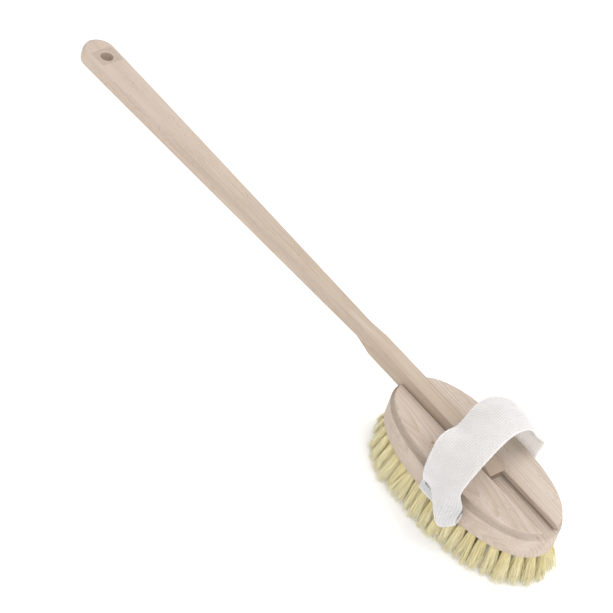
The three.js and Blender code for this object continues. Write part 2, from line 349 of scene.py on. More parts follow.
def beech_grain_group():
    """Beech with its grain along X: soft bands, growth rings, pores, short flecks and a knot."""
    group, given, made = new_group(
        "Beech grain",
        [
            ("Shift", "NodeSocketVector", (0, 0, 0)),
            ("Tilt", "NodeSocketFloat", 0.1),
            ("Knot", "NodeSocketVector", (0, 0, 0)),
            ("Drift", "NodeSocketVector", (0, 0, 0)),
            ("Light", "NodeSocketColor", (0.6, 0.5, 0.4, 1)),
            ("Dark", "NodeSocketColor", (0.5, 0.4, 0.3, 1)),
            ("Fleck", "NodeSocketColor", (0.3, 0.2, 0.1, 1)),
            ("Ring spacing", "NodeSocketFloat", 2.3 * MM),
            ("Ring strength", "NodeSocketFloat", 0.85),
            ("Fleck strength", "NodeSocketFloat", 0.5),
        ],
        [
            ("Colour", "NodeSocketColor"),
            ("Height", "NodeSocketFloat"),
            ("Roughness", "NodeSocketFloat"),
        ],
    )
    coordinates = group.nodes.new("ShaderNodeTexCoord")
    unshifted = coordinates.outputs["Object"]
    place = vector_node(group, "ADD", unshifted, given.outputs["Shift"])["Vector"]

    # growth rings round a pith that runs along X and dips at a slight tilt
    wander = stretched_noise(group, place, (150 * MM, 22 * MM, 22 * MM), detail=1)
    parts = group.nodes.new("ShaderNodeSeparateXYZ")
    group.links.new(place, parts.inputs["Vector"])
    run, height = parts.outputs["X"], parts.outputs["Z"]
    across = math_node(group, "MULTIPLY_ADD", wander, 7 * MM, parts.outputs["Y"])
    lift = math_node(group, "MULTIPLY_ADD", run, given.outputs["Tilt"], height)
    from_pith = group.nodes.new("ShaderNodeCombineXYZ")
    group.links.new(across, from_pith.inputs["Y"])
    group.links.new(lift, from_pith.inputs["Z"])
    depth = vector_node(group, "LENGTH", from_pith.outputs["Vector"])["Value"]
    ripple = stretched_noise(group, place, (30 * MM, 3 * MM, 3 * MM), detail=1, offset=(9, 4, 2))
    depth = math_node(group, "MULTIPLY_ADD", ripple, 1.5 * MM, depth)
    turns = math_node(group, "DIVIDE", depth, given.outputs["Ring spacing"])
    saw = math_node(group, "FRACT", turns)
    late = math_node(group, "POWER", saw, 4)
    rings = math_node(group, "MULTIPLY", late, given.outputs["Ring strength"])
    fading = stretched_noise(group, place, (60 * MM, 7 * MM, 7 * MM), detail=1, offset=(3, 2, 6))
    rings = math_node(group, "MULTIPLY", rings, ramp(group, fading, 0.34, 0.62))

    streaks = stretched_noise(group, place, (34 * MM, 0.5 * MM, 0.5 * MM), detail=3, roughness=0.6)
    pores = stretched_noise(group, place, (2.2 * MM, 0.16 * MM, 0.16 * MM), detail=1)
    dash_sizes = (1.9 * MM, 0.36 * MM, 0.5 * MM)
    dashes = stretched_noise(group, place, dash_sizes, detail=0, offset=(5, 3, 1))
    patches = stretched_noise(group, place, (24 * MM, 6 * MM, 6 * MM), detail=1, offset=(1, 8, 4))
    dash_mask = ramp(group, dashes, 0.64, 0.74)
    patch_mask = ramp(group, patches, 0.42, 0.66)
    flecks = math_node(group, "MULTIPLY", dash_mask, patch_mask)
    flecks = math_node(group, "MULTIPLY", flecks, given.outputs["Fleck strength"])

    bands = stretched_noise(group, place, (110 * MM, 9 * MM, 9 * MM))
    tone = math_node(group, "MULTIPLY_ADD", bands, 0.9, -0.55)
    tone = math_node(group, "MULTIPLY_ADD", streaks, 1.1, tone)
    tone = math_node(group, "ADD", tone, rings)
    drift = vector_node(group, "DOT_PRODUCT", unshifted, given.outputs["Drift"])["Value"]
    tone = ramp(group, math_node(group, "ADD", tone, drift), -0.05, 1)
    base = mix_colours(group, tone, given.outputs["Light"], given.outputs["Dark"])
    colour = mix_colours(group, flecks, base, given.outputs["Fleck"])
    from_knot = vector_node(group, "DISTANCE", unshifted, given.outputs["Knot"])["Value"]
    clear = ramp(group, from_knot, 0.4 * MM, 1.2 * MM)
    colour = mix_colours(group, clear, given.outputs["Fleck"], colour)
    group.links.new(colour, made.inputs["Colour"])

    relief = math_node(group, "MULTIPLY", pores, 0.6)
    relief = math_node(group, "MULTIPLY_ADD", streaks, 0.5, relief)
    relief = math_node(group, "MULTIPLY_ADD", flecks, -0.5, relief)
    group.links.new(relief, made.inputs["Height"])
    roughness = math_node(group, "MULTIPLY_ADD", streaks, 0.22, 0.5)
    group.links.new(roughness, made.inputs["Roughness"])
    return group


def yarn_lint_group():
    """Fine lint over spun yarn, and the shade in the grooves between the yarns."""
    group, given, made = new_group(
        "Yarn lint",
        [
            ("Light", "NodeSocketColor", (0.8, 0.8, 0.8, 1)),
            ("Dark", "NodeSocketColor", (0.7, 0.7, 0.7, 1)),
            ("Groove shade", "NodeSocketFloat", 0.3),
        ],
        [("Colour", "NodeSocketColor"), ("Height", "NodeSocketFloat")],
    )
    coordinates = group.nodes.new("ShaderNodeTexCoord")
    place = coordinates.outputs["Object"]
    lint = stretched_noise(group, place, [0.35 * MM] * 3, detail=3, roughness=0.65)
    soil = stretched_noise(group, place, [9 * MM] * 3)
    tone = math_node(group, "MULTIPLY", lint, 0.55)
    tone = ramp(group, math_node(group, "MULTIPLY_ADD", soil, 0.45, tone), 0.3, 0.7)
    colour = mix_colours(group, tone, given.outputs["Dark"], given.outputs["Light"])
    stored = group.nodes.new("ShaderNodeAttribute")
    stored.attribute_name = "groove"
    depth = math_node(group, "MULTIPLY", stored.outputs["Fac"], given.outputs["Groove shade"])
    colour = mix_colours(group, depth, colour, (0.3, 0.28, 0.27, 1))
    group.links.new(colour, made.inputs["Colour"])
    group.links.new(lint, made.inputs["Height"])
    return group


def join_bump(tree, shader, height, distance, strength):
    bump = tree.nodes.new("ShaderNodeBump")
    bump.inputs["Strength"].default_value = strength
    bump.inputs["Distance"].default_value = distance
    tree.links.new(height, bump.inputs["Height"])
    tree.links.new(bump.outputs["Normal"], shader.inputs["Normal"])


# Painted shade: the shaded faces turn by this much towards the dark grain at this share of its
# brightness.
PAINTED_SHADE_WEIGHT = 0.45
PAINTED_SHADE_DARKNESS = 0.45


def beech_material(name, **grain):
    """Bare sanded beech. grain holds the values of the shared group's inputs."""
    material, tree, shader = new_material(name)
    wood = place_group(tree, "Beech grain", **grain)
    # painted shade in recesses, mixed into the wood's colour by the share stored on each face
    stored = tree.nodes.new("ShaderNodeAttribute")
    stored.attribute_name = "painted_shade"
    shade = math_node(tree, "MULTIPLY", stored.outputs["Fac"], PAINTED_SHADE_WEIGHT)
    darker = (*(PAINTED_SHADE_DARKNESS * channel for channel in grain["Dark"][:3]), 1)
    colour = mix_colours(tree, shade, wood.outputs["Colour"], darker)
    tree.links.new(colour, shader.inputs["Base Color"])
    tree.links.new(wood.outputs["Roughness"], shader.inputs["Roughness"])
    join_bump(tree, shader, wood.outputs["Height"], 0.12 * MM, 0.35)
    shader.inputs["Specular IOR Level"].default_value = 0.3
    return material


def cotton_material(colour):
    material, tree, shader = new_material("Bleached cotton webbing")
    lint = place_group(
        tree,
        "Yarn lint",
        Light=(*colour, 1),
        Dark=(*(0.9 * channel for channel in colour), 1),
    )
    tree.links.new(lint.outputs["Colour"], shader.inputs["Base Color"])
    join_bump(tree, shader, lint.outputs["Height"], 0.1 * MM, 0.4)
    shader.inputs["Roughness"].default_value = 0.92
    shader.inputs["Specular IOR Level"].default_value = 0.2
    shader.inputs["Sheen Weight"].default_value = 0.15
    shader.inputs["Subsurface Weight"].default_value = 1
    shader.inputs["Subsurface Scale"].default_value = 8 * MM
    shader.inputs["Subsurface Radius"].default_value = (1, 0.9, 0.8)
    return material


def bristle_material():
    """Cream fibre, paler towards its tip. Each fibre's tone and reach are stored on its mesh."""
    material, tree, shader = new_material("Cream bristle")
    stored = tree.nodes.new("ShaderNodeAttribute")
    stored.attribute_name = "fibre"
    parts = tree.nodes.new("ShaderNodeSeparateColor")
    tree.links.new(stored.outputs["Color"], parts.inputs["Color"])
    tone, reach = parts.outputs["Red"], parts.outputs["Green"]
    body = mix_colours(tree, tone, (0.94, 0.8, 0.38, 1), (0.99, 0.92, 0.63, 1))
    # painted warm bounce light deep in the fringe: the fibres keep their deeper, warmer tone near
    # the roots and turn paler towards the tips; the tone from clump to clump is the fibres' own
    tipped = mix_colours(tree, ramp(tree, reach, 0.15, 1), body, (0.99, 0.94, 0.7, 1))
    tree.links.new(mix_colours(tree, 0.55, body, tipped), shader.inputs["Base Color"])
    shader.inputs["Roughness"].default_value = 0.5
    shader.inputs["Specular IOR Level"].default_value = 0.35
    return material


def steel_material():
    material, tree, shader = new_material("Bright drawn wire")
    coordinates = tree.nodes.new("ShaderNodeTexCoord")
    marks = stretched_noise(tree, coordinates.outputs["Object"], (1.5 * MM, 0.1 * MM, 0.1 * MM))
    colour = mix_colours(tree, marks, (0.55, 0.56, 0.57, 1), (0.72, 0.73, 0.74, 1))
    tree.links.new(colour, shader.inputs["Base Color"])
    tree.links.new(math_node(tree, "MULTIPLY_ADD", marks, 0.2, 0.22), shader.inputs["Roughness"])
    shader.inputs["Metallic"].default_value = 1
    return material


# ---------------------------------------------------------------- mesh helpers


def new_object(name, data):
    thing = bpy.data.objects.new(name, data)
    bpy.context.scene.collection.objects.link(thing)
    return thing


def new_mesh(name, points, faces):
    mesh = bpy.data.meshes.new(name)
    mesh.from_pydata([tuple(point) for point in points], [], faces)
    mesh.update()
    return mesh


def new_piece(name, mesh, material, body, smooth_angle=None):
    """A mesh object that rides on a body of the frame."""
    piece = new_object(name, mesh)
    mesh.materials.clear()
    mesh.materials.append(material)
    mesh.polygons.foreach_set("use_smooth", [True] * len(mesh.polygons))
    if smooth_angle is not None:
        mesh.set_sharp_from_angle(angle=smooth_angle)
    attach(piece, body)
    return piece


def mark_painted_shade(piece, shade_of_face):
    """Stores on each face how much painted shade it takes, which the given function tells from the
    face's centre.
    """
    mask = piece.data.attributes.new("painted_shade", "FLOAT", "FACE")
    mask.data.foreach_set("value", [float(shade_of_face(face.center)) for face in piece.data.polygons])


def circle(centre, first, second, radius, sides):
    """Points round a centre, from the way of first towards the way of second."""
    points = []
    for side in range(sides):
        turn = 2 * math.pi * side / sides
        points.append(
            centre + first * (radius * math.cos(turn)) + second * (radius * math.sin(turn))
        )
    return points


# The corners of a rectangle about its middle, anticlockwise.
CORNERS = ((-1, -1), (1, -1), (1, 1), (-1, 1))


def loft_faces(rings, sides):
    """Faces of a closed skin over rings of points, anticlockwise against the way they advance."""
    faces = []
    for ring in range(rings - 1):
        low, high = ring * sides, (ring + 1) * sides
        for side in range(sides):
            following = (side + 1) % sides
            faces.append((low + side, low + following, high + following, high + side))
    faces.append(tuple(range(sides - 1, -1, -1)))
    faces.append(tuple((rings - 1) * sides + side for side in range(sides)))
    return faces


def loft_mesh(name, rings):
    points = [point for ring in rings for point in ring]
    return new_mesh(name, points, loft_faces(len(rings), len(rings[0])))


def join_meshes(name, meshes):
    """One mesh of several that don't touch."""
    points, faces = [], []
    for mesh in meshes:
        start = len(points)
        points += [vertex.co for vertex in mesh.vertices]
        faces += [tuple(start + index for index in face.vertices) for face in mesh.polygons]
    return new_mesh(name, points, faces)


def carve(mesh, steps):
    """The mesh after each (operation, other mesh) of steps, by exact booleans."""
    work = new_object("carving", mesh)
    tools = []
    for operation, other in steps:
        tool = new_object("tool", other)
        tools.append(tool)
        change = work.modifiers.new(operation, "BOOLEAN")
        change.operation = operation
        change.solver = "EXACT"
        change.use_self = True
        change.object = tool
    bpy.context.view_layer.update()
    shown = work.evaluated_get(bpy.context.evaluated_depsgraph_get())
    carved = bpy.data.meshes.new_from_object(shown)
    for thing in [work, *tools]:
        bpy.data.objects.remove(thing)
    # a failed boolean leaves an empty mesh or the cutters alone
    if len(carved.polygons) < len(mesh.polygons) / 4:
        raise RuntimeError(f"{mesh.name}: the boolean lost the solid")
    return carved


def add_flat_shading(piece):
    """Keeps broad flat faces flat beside small roundings."""
    weighted = piece.modifiers.new("Weighted normals", "WEIGHTED_NORMAL")
    weighted.keep_sharp = True


# ---------------------------------------------------------------- head

# The power of each outline's superellipse, in which 2 would be a plain ellipse.
BOARD_SQUARENESS = 2.16
CHEEK_SQUARENESS = 2.38
HEAD_SIDES = 288
KNOT_PLACE = (137.2 * MM, -19.7 * MM, CHEEK_TOP)
# How much painted shade darkens each recess, from 0 to 1.
COVE_PAINTED_SHADE = 0.6
SLOT_FLOOR_PAINTED_SHADE, SLOT_WALL_PAINTED_SHADE, SLOT_FOOT_PAINTED_SHADE = 0.15, 0.1, 0.8
# The hanging hole's share is painted shade; the ramp end's is painted shade and partly its darker
# end grain.
HOLE_PAINTED_SHADE, RAMP_END_SHADE_AND_GRAIN = 0.5, 1


def oval(inset, squareness, angles):
    """Points of the head's oval outline, drawn in by inset, about the middle of the head."""
    reach = np.array([HEAD_HALF_LENGTH - inset, HEAD_HALF_WIDTH - inset])
    turn = np.stack([np.cos(angles), np.sin(angles)], axis=-1)
    return reach * np.sign(turn) * np.abs(turn) ** (2 / squareness)


def head_ring(inset, z, squareness):
    angles = (np.arange(HEAD_SIDES) + 0.5) / HEAD_SIDES * 2 * math.pi
    flat = oval(inset, squareness, angles)
    return [(HEAD_X + x, y, z) for x, y in flat]


def rounding(centre_inset, centre_z, radius, start, end, steps):
    """(inset, z) along an arc, with angles in degrees: 0 faces outwards and 90 faces up."""
    arc = []
    for step in range(steps + 1):
        angle = math.radians(start + (end - start) * step / steps)
        arc.append((centre_inset - radius * math.cos(angle), centre_z + radius * math.sin(angle)))
    return arc


def head_blank(settings):
    """The board with eased edges, the finger cove and the cheeks above it."""
    floor = BOARD_BOTTOM + settings.board_thickness
    ease = 0.9 * MM
    lip = 0.45 * MM
    rings = [
        head_ring(inset, z, BOARD_SQUARENESS)
        for inset, z in rounding(ease, BOARD_BOTTOM + ease, ease, -90, 0, 5)
        + rounding(lip, floor - lip, lip, 0, 80, 4)
    ]
    cove_steps = 8
    cove_rise = 0.45 * (CHEEK_TOP - floor)
    for step in range(1, cove_steps + 1):
        turn = step / cove_steps * math.pi / 2
        inset = ease + (settings.cove_depth - ease) * math.sin(turn)
        z = floor + cove_rise * (1 - math.cos(turn))
        rings.append(head_ring(inset, z, CHEEK_SQUARENESS))
    edge = 0.7 * MM
    for inset, z in rounding(settings.cheek_inset + edge, CHEEK_TOP - edge, edge, 0, 90, 5):
        rings.append(head_ring(inset, z, CHEEK_SQUARENESS))
    return loft_mesh("head blank", rings)


def slot_cutter(settings):
    """A prism along X with an undercut foot and a small chamfer at the cheeks' edges."""
    floor = BOARD_BOTTOM + settings.board_thickness
    half, foot = settings.slot_width / 2, settings.undercut_width / 2
    foot_top = floor + settings.undercut_height
    chamfer = 0.5 * MM
    above = 2 * MM
    side = [
        (foot, floor),
        (foot, foot_top),
        (half, foot_top),
        (half, CHEEK_TOP - chamfer),
        (half + chamfer + above, CHEEK_TOP + above),
    ]
    section = side + [(-y, z) for y, z in reversed(side)]
    reach = 2 * HEAD_HALF_LENGTH
    rings = [[(x, y, z) for y, z in section] for x in (HEAD_X - reach, HEAD_X + reach)]
    return loft_mesh("slot cutter", rings)


# ---------------------------------------------------------------- tufts

HOLE_DEPTH = 9 * MM
HOLE_RADIUS = 2.7 * MM
# Each ring's distance inside the board's side, its tufts, how far they lean outwards in degrees
# and how far their fibres splay at the tips.
OUTER_RING = {"inset": 5 * MM, "count": len(OUTER_TUFTS), "lean": 13, "spread": 4.3 * MM}
INNER_RINGS = [
    {"inset": 12.5 * MM, "count": 34, "lean": 7, "spread": 4.4 * MM},
    {"inset": 20 * MM, "count": 27, "lean": 3, "spread": 4.4 * MM},
    {"inset": 27.6 * MM, "count": 22, "lean": 0, "spread": 4.4 * MM},
]

PACKED_RADIUS = 2.1 * MM
ROOT_DEPTH = 1.5 * MM
# A tuft's fibres gather in clumps: how many to one, and how far they differ from their clump in
# turn, in radians, and in reach from the tuft's middle, where 1 is the tuft's rim.
CLUMP_FIBRES = 12
CLUMP_TURN, CLUMP_REACH, FARTHEST_REACH = 0.3, 0.08, 1.06
# How far the tips stray sideways: a whole tuft, a clump in it, a tidy fibre and an unruly one.
TUFT_SWAY = 1.3 * MM
CLUMP_BEND = 0.9 * MM
FIBRE_BEND, UNRULY_BEND, UNRULY_SHARE = 0.4 * MM, 1.5 * MM, 0.2
FIBRE_BOW = 0.4 * MM
# How far the trim falls short of the level tips, as gamma draws of this shape.
CUT_SHAPE, CLUMP_CUT, FIBRE_CUT = 1.2, 0.9 * MM, 0.5 * MM
# A fibre's radius at each joint from its root to its tip, as shares of its radius at the root.
FIBRE_TAPER = np.array([1, 1, 0.95, 0.85, 0.5])
FIBRE_SIDES = 3


def tuft_places(ring):
    """Each tuft's hole mouth, the way it points, the way along its ring and the way across both."""
    steps = 2000
    angles = (np.arange(steps + 2) + 0.5) / steps * 2 * math.pi
    outline = oval(ring["inset"], BOARD_SQUARENESS, angles)
    runs = np.concatenate([[0], np.cumsum(np.linalg.norm(np.diff(outline, axis=0), axis=1))])
    lean = math.radians(ring["lean"])
    places = []
    for index in range(ring["count"]):
        step = int(np.searchsorted(runs, (index + 0.5) / ring["count"] * runs[steps]))
        along = outline[step + 1] - outline[step - 1]
        along /= np.linalg.norm(along)
        mouth = Vector((HEAD_X + outline[step][0], outline[step][1], BOARD_BOTTOM))
        down = Vector((along[1] * math.sin(lean), -along[0] * math.sin(lean), -math.cos(lean)))
        along = Vector((along[0], along[1], 0))
        places.append((mouth, down, along, down.cross(along)))
    return places


def hole_mesh(place):
    """A cutter for a tuft's hole, which widens at its mouth."""
    mouth, down, along, across = place
    sides = 20
    countersink = 0.25 * MM
    past = 0.5 * MM
    rings = [
        circle(mouth + down * distance, along, across, radius, sides)
        for distance, radius in (
            (-HOLE_DEPTH, HOLE_RADIUS),
            (-countersink, HOLE_RADIUS),
            (past, HOLE_RADIUS + countersink + past),
        )
    ]
    return loft_mesh("hole", rings)


def fibre_spines(place, spread, count, draw):
    """Each fibre's joints from the hole to its trimmed tip, and its tone from 0 to 1."""
    mouth, down, along, across = (np.array(vector) for vector in place)
    clumps = max(4, count // CLUMP_FIBRES)
    clump_turns = draw.uniform(0, 2 * math.pi, clumps)
    clump_reach = draw.uniform(0, 1, clumps) ** 0.3
    clump_tone = draw.uniform(0, 1, clumps)
    clump_bend = draw.normal(0, CLUMP_BEND, (clumps, 2))
    clump_cut = draw.gamma(CUT_SHAPE, CLUMP_CUT, clumps)
    owner = draw.integers(0, clumps, count)

    turn = clump_turns[owner] + draw.normal(0, CLUMP_TURN, count)
    reach = np.clip(clump_reach[owner] + draw.normal(0, CLUMP_REACH, count), 0, FARTHEST_REACH)
    flat = np.stack([np.cos(turn), np.sin(turn)], axis=-1) * reach[:, None]
    root = flat * PACKED_RADIUS
    unruly = draw.uniform(0, 1, count) < UNRULY_SHARE
    stray = np.where(unruly, UNRULY_BEND, FIBRE_BEND)[:, None]
    sway = draw.normal(0, TUFT_SWAY, 2)
    tip = flat * spread + sway + clump_bend[owner] + draw.normal(0, 1, (count, 2)) * stray

    cut = clump_cut[owner] + draw.gamma(CUT_SHAPE, FIBRE_CUT, count)
    bow = draw.normal(0, FIBRE_BOW, (count, 2))
    # every fibre is trimmed near the level of the floor, a little short at random
    length = BOARD_BOTTOM / -down[2]
    top = BOARD_BOTTOM + ROOT_DEPTH
    axes = np.stack([along, across])
    low = (mouth + down * length + tip @ axes)[:, 2]
    keep = np.minimum(1, (top - cut - 0.02 * MM) / (top - low))
    spine = np.zeros((count, len(FIBRE_TAPER), 3))
    for joint, share in enumerate(np.linspace(0, 1, len(FIBRE_TAPER))):
        offset = root + (tip - root) * (share * keep)[:, None] ** 1.25
        offset = offset + bow * math.sin(math.pi * share)
        distance = (length + ROOT_DEPTH) * share * keep - ROOT_DEPTH
        spine[:, joint] = mouth + down * distance[:, None] + offset @ axes
    own_share = 0.2
    tone = (1 - own_share) * clump_tone[owner] + own_share * draw.uniform(0, 1, count)
    return spine, tone


def tuft_fibres(place, spread, count, radius, draw):
    """Points, faces and stored tones of one tuft's fibres, which splay to level tips."""
    spine, tone = fibre_spines(place, spread, count, draw)
    joints, sides = len(FIBRE_TAPER), FIBRE_SIDES
    along, across = (np.array(vector) for vector in place[2:])
    corners = np.arange(sides) * 2 * math.pi / sides
    ring = np.cos(corners)[:, None] * along + np.sin(corners)[:, None] * across
    thickness = radius * FIBRE_TAPER
    points = spine[:, :, None] + thickness[None, :, None, None] * ring[None, None]
    points[..., 2] = np.maximum(points[..., 2], 0)
    stored = np.zeros((count, joints, sides, 4))
    stored[..., 0] = tone[:, None, None]
    stored[..., 1] = np.linspace(0, 1, joints)[None, :, None]
    stored[..., 3] = 1
    starts = np.arange(count)[:, None] * joints * sides
    faces = []
    for face in loft_faces(joints, sides):
        faces += (starts + np.array(face)).tolist()
    return points.reshape(-1, 3), faces, stored.reshape(-1, 4)


def bristle_piece(name, tufts, material, nodes):
    """One object of several tufts' fibres, which stands for the given nodes."""
    points, faces, stored = [], [], []
    count = 0
    for tuft_points, tuft_faces, tuft_stored in tufts:
        points.append(tuft_points)
        stored.append(tuft_stored)
        faces += [tuple(count + index for index in face) for face in tuft_faces]
        count += len(tuft_points)
    mesh = new_mesh(name, np.concatenate(points), faces)
    piece = new_piece(name, mesh, material, "head")
    attribute = piece.data.color_attributes.new("fibre", "FLOAT_COLOR", "POINT")
    attribute.data.foreach_set("color", np.concatenate(stored).ravel())
    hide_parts(*nodes)


def anchor_mesh(place):
    """The flat wire in a tuft's fold, at the foot of its hole."""
    mouth, down, along, across = place
    length, thickness, height = 4.3 * MM, 0.8 * MM, 1.6 * MM
    clearance = 0.3 * MM
    centre = mouth + down * (clearance + height / 2 - HOLE_DEPTH)
    to_end, to_side, to_foot = along * length / 2, across * thickness / 2, down * height / 2
    rings = [
        [centre + to_end * end + to_side * a + to_foot * b for a, b in CORNERS]
        for end in (-1, 1)
    ]
    return loft_mesh("anchor", rings)


# ---------------------------------------------------------------- handle

BLOCK_WIDTH = 11.1 * MM
BLOCK_START = HEAD_X - 93.5 * MM
SHOULDER_LENGTH = 14 * MM
RAMP_LENGTH = 17.5 * MM
BLOCK_CLEARANCE = 0.9 * MM
DROOP = math.radians(0.8)
HANG_THICKNESS = 10.6 * MM
NECK_THICKNESS = 8.9 * MM
HOLE_FROM_TIP = 17.7 * MM
FLANGE_START, FLANGE_END = HANDLE_END - 78 * MM, HANDLE_END - 1 * MM


def handle_section(x, half_width, bottom, top, radius):
    """A rectangle with rounded corners, anticlockwise when seen from +X."""
    steps = 6
    section = []
    corners = ((1, top - radius), (-1, top - radius), (-1, bottom + radius), (1, bottom + radius))
    for quarter, (side, z) in enumerate(corners):
        for step in range(steps + 1):
            angle = (quarter + step / steps) * math.pi / 2
            y = side * (half_width - radius) + radius * math.cos(angle)
            section.append((x, y, z + radius * math.sin(angle)))
    return section


def blend_values(first, second, share):
    return first + (second - first) * share


def shaft_top(x):
    """The level of the handle's top, which droops from the block towards the hang end."""
    return BLOCK_TOP - max(0, BLOCK_START - x) * math.tan(DROOP)


def handle_blank(settings, slot_floor):
    """The round hang end, the tapering shaft, the shoulder, the block and its ramp."""
    neck = BLOCK_START - SHOULDER_LENGTH
    end_radius = settings.hang_end_width / 2
    hang_edge, neck_edge, block_edge = 3 * MM, 1 * MM, 0.6 * MM
    block_bottom = slot_floor + BLOCK_CLEARANCE

    rings = []
    end_steps = 22
    for step in range(1, end_steps + 1):
        turn = step / end_steps * math.pi / 2
        x = HANDLE_TIP + end_radius * (1 - math.cos(turn))
        half_width = end_radius * math.sin(turn)
        # the tip's edge is rounded in plan and in height
        ease = 1.6 * MM * (1 - math.sin(turn)) ** 2
        bottom, top = shaft_top(x) - HANG_THICKNESS + ease, shaft_top(x) - ease
        rings.append(handle_section(x, half_width, bottom, top, min(hang_edge, 0.9 * half_width)))
    shaft_start = HANDLE_TIP + end_radius
    shaft_steps = 40
    for step in range(1, shaft_steps + 1):
        share = step / shaft_steps
        x = blend_values(shaft_start, neck, share)
        # the shaft's sides are slightly full
        taper = share * (1 - 0.15 * (1 - share))
        half_width = blend_values(settings.hang_end_width, settings.neck_width, taper) / 2
        bottom = shaft_top(x) - blend_values(HANG_THICKNESS, NECK_THICKNESS, share)
        edge = blend_values(hang_edge, neck_edge, share)
        rings.append(handle_section(x, half_width, bottom, shaft_top(x), edge))
    shoulder_steps = 8
    for step in range(1, shoulder_steps + 1):
        share = step / shoulder_steps
        x = blend_values(neck, BLOCK_START, share)
        swell = share**1.15
        half_width = blend_values(settings.neck_width, BLOCK_WIDTH, swell) / 2
        bottom = blend_values(shaft_top(neck) - NECK_THICKNESS, block_bottom, swell)
        edge = blend_values(neck_edge, block_edge, share)
        rings.append(handle_section(x, half_width, bottom, shaft_top(x), edge))
    ramp_foot = CHEEK_TOP + 0.5 * MM
    crest = HANDLE_END - RAMP_LENGTH
    soft = 0.35 * MM
    for x, top, edge in (
        (BLOCK_START + 2 * MM, BLOCK_TOP, block_edge),
        (crest - soft, BLOCK_TOP, block_edge),
        (crest + soft, BLOCK_TOP - 0.13 * MM, block_edge),
        (HANDLE_END - 0.3 * MM, ramp_foot + 0.1 * MM, block_edge),
        (HANDLE_END, ramp_foot - 0.15 * MM, 0.5 * MM),
    ):
        rings.append(handle_section(x, BLOCK_WIDTH / 2, block_bottom, top, edge))
    # the end face is undercut, so that the ramp runs out to a thin tip
    lean = 1.1
    rings[-2:] = [[(x - lean * (ramp_foot - z), y, z) for x, y, z in ring] for ring in rings[-2:]]
    return loft_mesh("handle blank", rings)


def hang_hole_mesh(settings):
    """A round cutter that widens at both faces, so that the hole's rims are eased."""
    hole_x = HANDLE_TIP + HOLE_FROM_TIP
    top = shaft_top(hole_x)
    bottom = top - HANG_THICKNESS + 0.05 * MM
    radius, rim = settings.hole_radius, settings.hole_rim
    sides, steps = 56, 6
    reach = 1 * MM
    eased = []
    for step in range(steps + 1):
        turn = step / steps * math.pi / 2
        eased.append((radius + rim * (1 - math.sin(turn)), rim * (1 - math.cos(turn))))
    profile = [(radius + rim, bottom - reach)]
    profile += [(wide, bottom + inwards) for wide, inwards in eased]
    profile += [(wide, top - inwards) for wide, inwards in reversed(eased)]
    profile += [(radius + rim, top + reach)]
    along, across = Vector((1, 0, 0)), Vector((0, 1, 0))
    rings = [circle(Vector((hole_x, 0, z)), along, across, wide, sides) for wide, z in profile]
    return loft_mesh("hole cutter", rings)


def flange_mesh(head_settings):
    """The two flanges as one bar through the block, a sliding fit in the slot's foot."""
    clearance = 0.3 * MM
    half = head_settings.undercut_width / 2 - clearance
    floor = BOARD_BOTTOM + head_settings.board_thickness
    levels = {-1: floor + clearance, 1: floor + head_settings.undercut_height - clearance}
    rings = [
        [(x, half * side, levels[level]) for side, level in CORNERS]
        for x in (FLANGE_START, FLANGE_END)
    ]
    return loft_mesh("flanges", rings)


# ---------------------------------------------------------------- strap

# The slant is the run along the head for each millimetre across it. The other sizes of the strap's
# lines are in millimetres.
STRAP_SLANT = -0.157
STRAP_FROM_HEAD_MIDDLE = 4.8
# The webbing's shape: four lines along it, each with its distance from the webbing's middle and its
# stations from the near end over to the far end, where all four run alike. Each station is (across
# the head, above the cheeks, shift along the head).
STRAP_FAR = [(38.1, 5.5, 0), (39, 1, 0), (36, -4.5, 0), (34.4, -9.5, 0), (34.4, -17.5, 0)]
STRAP_LINES = [
    (
        -15.5,
        [(-34.2, -18.3, -1.3), (-34.2, -13, -1), (-34.3, -9.3, -0.5), (-35.0, -8.6, 0)]
        + [(-36.9, -6, 0), (-39.3, 2, 0), (-39.8, 12, 0), (-38.6, 20.5, 0), (-36.8, 26.5, 0)]
        + [(-30.5, 28.4, 0), (-20.6, 26.1, 0), (-14.2, 29.6, 0), (-8.6, 34.8, 0), (-1.5, 35.4, 0)]
        + [(7.5, 32.4, 0), (16, 27.5, 0), (24.5, 20, 0), (32, 12, 0)]
        + STRAP_FAR,
    ),
    (
        -6,
        [(-34.3, -18.2, 0), (-34.3, -13, 0), (-34.4, -9.2, 0), (-36.2, -8.4, 0)]
        + [(-39.0, -4.8, 0), (-40.2, 2, 0), (-39.6, 12, 0), (-37.6, 20, 0), (-34, 25.5, 0)]
        + [(-28.5, 28.5, 0), (-21, 30, 0), (-13, 34, 0), (-6, 38.2, 0), (1.5, 39.6, 0)]
        + [(11.5, 36.5, 0), (19.5, 30, 0), (27, 21, 0), (33.5, 12, 0)]
        + STRAP_FAR,
    ),
    (
        6.5,
        [(-33.9, -17.5, 0), (-33.9, -16, 0), (-34.9, -19, 0), (-38.6, -23, 0)]
        + [(-41.6, -15, 0), (-41.4, 0, 0), (-39.6, 10, 0), (-37, 18.6, 0), (-32.8, 24.4, 0)]
        + [(-27.5, 29.3, 0), (-21, 33.4, 0), (-13, 37.5, 0), (-6, 39.6, 0), (1.5, 39.9, 0)]
        + [(11.5, 36.5, 0), (19.5, 30, 0), (27, 21, 0), (33.5, 12, 0)]
        + STRAP_FAR,
    ),
    (
        15.5,
        [(-31.7, -9, 0.6), (-31.8, -9, 0.6), (-33.0, -13.2, 1.1), (-36.4, -15.6, 1.1)]
        + [(-36.9, -9.6, 0.6), (-34.7, -3.2, 0.6), (-37.2, 6.5, -2.6), (-36.4, 16.5, -1.6)]
        + [(-32, 23.5, -1), (-27, 30, -0.3), (-21, 35.2, 0), (-13.5, 38.7, 0), (-7.5, 39.6, 0)]
        + [(-1, 38.8, 0), (9, 34.5, 0), (17.5, 27.5, 0), (25, 18.5, 0), (32.5, 11, 0)]
        + STRAP_FAR,
    ),
]


